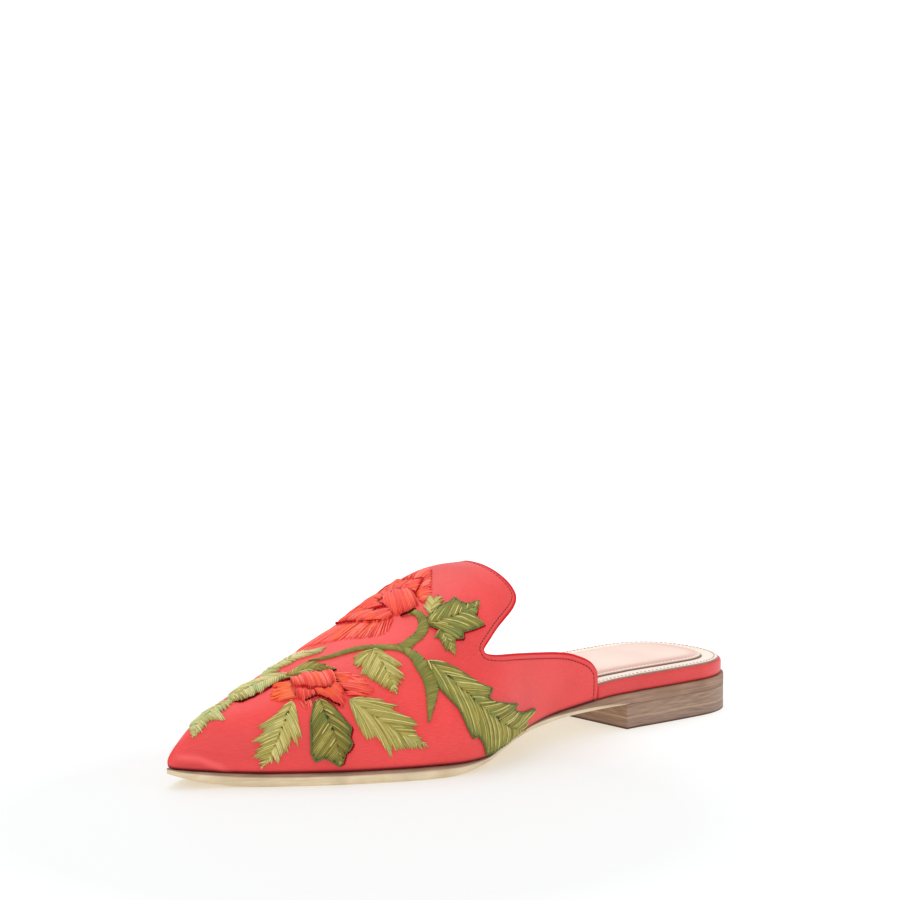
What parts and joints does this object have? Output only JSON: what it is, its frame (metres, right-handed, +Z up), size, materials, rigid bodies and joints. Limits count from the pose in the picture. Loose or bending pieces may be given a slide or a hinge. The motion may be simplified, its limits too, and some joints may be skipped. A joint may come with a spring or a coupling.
{
  "type": "mule",
  "caption": "Left flat mule with a pointed toe, backless satin upper with raised floral applique, leather sole and low stacked heel; a foot slides in from behind.",
  "frame": {"origin": "middle of the bounding box in plan, on the floor the sole rests on", "axes": "+X towards the toe, +Y towards the outer (lateral) side of this left shoe, +Z up"},
  "size_m": [0.2686, 0.0824, 0.0694],
  "materials": {
    "satin": "satin weave, soft sheen",
    "sole_leather": "natural, matt edge",
    "stack_leather": "burnished stacked edge",
    "top_leather": "matt brown top piece",
    "sock_leather": "smooth, semi-matt",
    "thread_pale": "silk thread",
    "thread_light": "silk thread",
    "thread_olive": "silk thread",
    "thread_dark": "silk thread",
    "thread_coral": "silk thread"
  },
  "bodies": {
    "root": {"upper": "satin", "insole_board": "satin", "insole_sock": "sock_leather", "outsole": "sole_leather", "heel_lift": "stack_leather", "heel_top_piece": "top_leather", "stem_main": "thread_olive", "stem_lower": "thread_olive", "leaf_toe": "thread_pale", "leaf_crest_front": "thread_pale", "leaf_crest_rear": "thread_pale", "leaf_calyx": "thread_olive", "leaf_low_front": "thread_light", "leaf_low_middle": "thread_olive", "leaf_low_rear": "thread_light", "leaf_middle": "thread_light", "leaf_long": "thread_dark", "leaf_throat": "thread_dark", "leaf_throat_small": "thread_light", "leaf_throat_low": "thread_dark", "petal_low_fold": "thread_coral", "petal_low_left": "thread_coral", "petal_low_centre": "thread_coral", "petal_low_right": "thread_coral", "petal_top_round": "thread_coral", "petal_top_front": "thread_coral", "petal_top_crest": "thread_coral", "petal_top_rear": "thread_coral", "petal_top_far": "thread_coral", "petal_top_inner": "thread_coral"}
  },
  "joints": []
}
